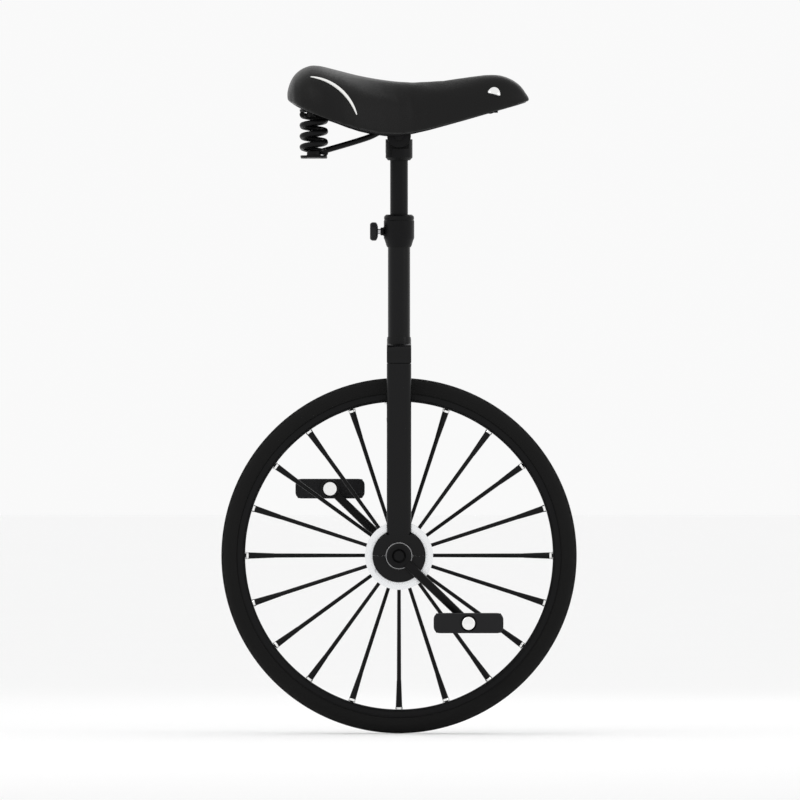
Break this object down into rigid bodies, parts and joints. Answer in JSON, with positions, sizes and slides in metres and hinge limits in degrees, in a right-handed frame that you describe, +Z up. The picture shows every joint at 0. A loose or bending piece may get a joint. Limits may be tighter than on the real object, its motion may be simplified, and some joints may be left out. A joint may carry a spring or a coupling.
{
  "type": "unicycle",
  "caption": "Unicycle with a black sprung saddle, a seat post held by a hand knob, a straight fork and one radially spoked wheel with cranks and block pedals.",
  "frame": {"origin": "point where the tyre touches the ground, straight below the axle; centre of the base of the object's box", "axes": "+X forward along the saddle's nose, +Y to the rider's left along the axle, +Z up"},
  "size_m": [0.5079, 0.356, 0.9519],
  "materials": {
    "tyre_rubber": "matt black rubber with a fine road tread",
    "tube_rubber": "smooth butyl rubber",
    "rim_tape": "woven cotton tape",
    "rim_black": "black anodised",
    "spoke_black": "black coated, satin",
    "nickel_plate": "bright nickel plate",
    "hub_polished": "turned and polished",
    "bearing_steel": "ground steel",
    "zinc_steel": "zinc plated",
    "seal_rubber": "moulded seal",
    "frame_paint": "gloss black enamel",
    "fitting_black": "satin black",
    "pad_brass": "plain brass",
    "knob_plastic": "moulded, fine texture",
    "post_black": "satin black with slight rub marks",
    "spring_black": "gloss black over steel",
    "base_plastic": "moulded",
    "foam": "open foam",
    "saddle_leather": "black, fine grain",
    "piping_bright": "white glossy bead",
    "crank_black": "satin black forged steel",
    "pedal_plastic": "moulded",
    "pedal_rubber": "ribbed rubber"
  },
  "bodies": {
    "frame": {"bearing_outer_rings": "bearing_steel", "bearing_shields": "seal_rubber", "bearing_housing_left": "frame_paint", "bearing_housing_right": "frame_paint", "bearing_cap_left": "frame_paint", "bearing_cap_right": "frame_paint", "bearing_cap_bolts": "zinc_steel", "fork_leg_left": "frame_paint", "fork_leg_right": "frame_paint", "fork_crown": "frame_paint", "neck_tube": "frame_paint", "seat_collar": "fitting_black"},
    "wheel": {"tyre": "tyre_rubber", "inner_tube": "tube_rubber", "rim_tape": "rim_tape", "rim": "rim_black", "spokes_left": "spoke_black", "spokes_right": "spoke_black", "nipples_left": "spoke_black", "nipples_right": "spoke_black", "spoke_ferrules": "nickel_plate", "valve_stem": "nickel_plate", "valve_cap": "knob_plastic", "hub_shell": "hub_polished", "axle": "bearing_steel", "bearing_inner_rings": "bearing_steel", "bearing_balls": "bearing_steel", "crank_left": "crank_black", "crank_right": "crank_black", "crank_bolts": "fitting_black", "spindle_nuts": "nickel_plate", "pedal_spindle_left": "zinc_steel", "pedal_spindle_right": "zinc_steel"},
    "pedal_left": {"pedal_frame_left": "pedal_plastic", "pedal_treads_left": "pedal_rubber", "pedal_cap_left": "nickel_plate"},
    "pedal_right": {"pedal_frame_right": "pedal_plastic", "pedal_treads_right": "pedal_rubber", "pedal_cap_right": "nickel_plate"},
    "pad": {"clamp_pad": "pad_brass"},
    "knob": {"clamp_knob": "knob_plastic", "clamp_stud": "bearing_steel"},
    "post": {"seat_post": "post_black"},
    "head": {"post_head": "fitting_black", "head_grub_screw": "bearing_steel"},
    "rails": {"rail_jaws": "fitting_black", "rail_clamp_bolt": "fitting_black", "saddle_rails": "spring_black", "nose_barrel": "spring_black", "nose_bolt": "zinc_steel", "spring_left": "spring_black", "spring_right": "spring_black"},
    "saddle": {"spring_cups": "spring_black", "nose_bracket": "spring_black", "saddle_base": "base_plastic", "saddle_padding": "foam", "saddle_cover": "saddle_leather", "saddle_piping": "piping_bright", "nose_studs": "nickel_plate"}
  },
  "joints": [
    {"name": "wheel_spin", "type": "hinge", "parent": "frame", "child": "wheel", "pos_m": [0, 0, 0.254], "axis": [0, 1, 0], "continuous": true},
    {"name": "pedal_left_spin", "type": "hinge", "parent": "wheel", "child": "pedal_left", "pos_m": [-0.09872, 0.13, 0.349], "axis": [0, 1, 0], "continuous": true},
    {"name": "pedal_right_spin", "type": "hinge", "parent": "wheel", "child": "pedal_right", "pos_m": [0.09872, -0.13, 0.159], "axis": [0, 1, 0], "continuous": true},
    {"name": "post_slide", "type": "slide", "parent": "frame", "child": "post", "axis": [0, 0, 1], "range_m": [-0.072, 0.035]},
    {"name": "knob_turn", "type": "hinge", "parent": "pad", "child": "knob", "pos_m": [-0.035, 0, 0.7165], "axis": [1, 0, 0], "range_deg": [0, 720.5]},
    {"name": "pad_slide", "type": "slide", "parent": "frame", "child": "pad", "axis": [-1, 0, 0], "range_m": [0, 0.0025]},
    {"name": "head_swivel", "type": "hinge", "parent": "post", "child": "head", "pos_m": [0, 0, 0.826], "axis": [0, 0, 1], "range_deg": [-180, 180]},
    {"name": "saddle_tilt", "type": "hinge", "parent": "head", "child": "rails", "pos_m": [0, 0, 0.853], "axis": [0, 1, 0], "range_deg": [-12, 12]},
    {"name": "saddle_bounce", "type": "hinge", "parent": "rails", "child": "saddle", "pos_m": [0.13, 0, 0.893], "axis": [0, 1, 0], "range_deg": [-4, 0], "stiffness_Nm_per_rad": 2500, "springref_deg": 0.06, "deforming": ["spring_left", "spring_right"]}
  ],
  "couplings": [
    {"joint": "knob_turn", "follows": "pad_slide", "rad_per_m": 5026.5}
  ]
}
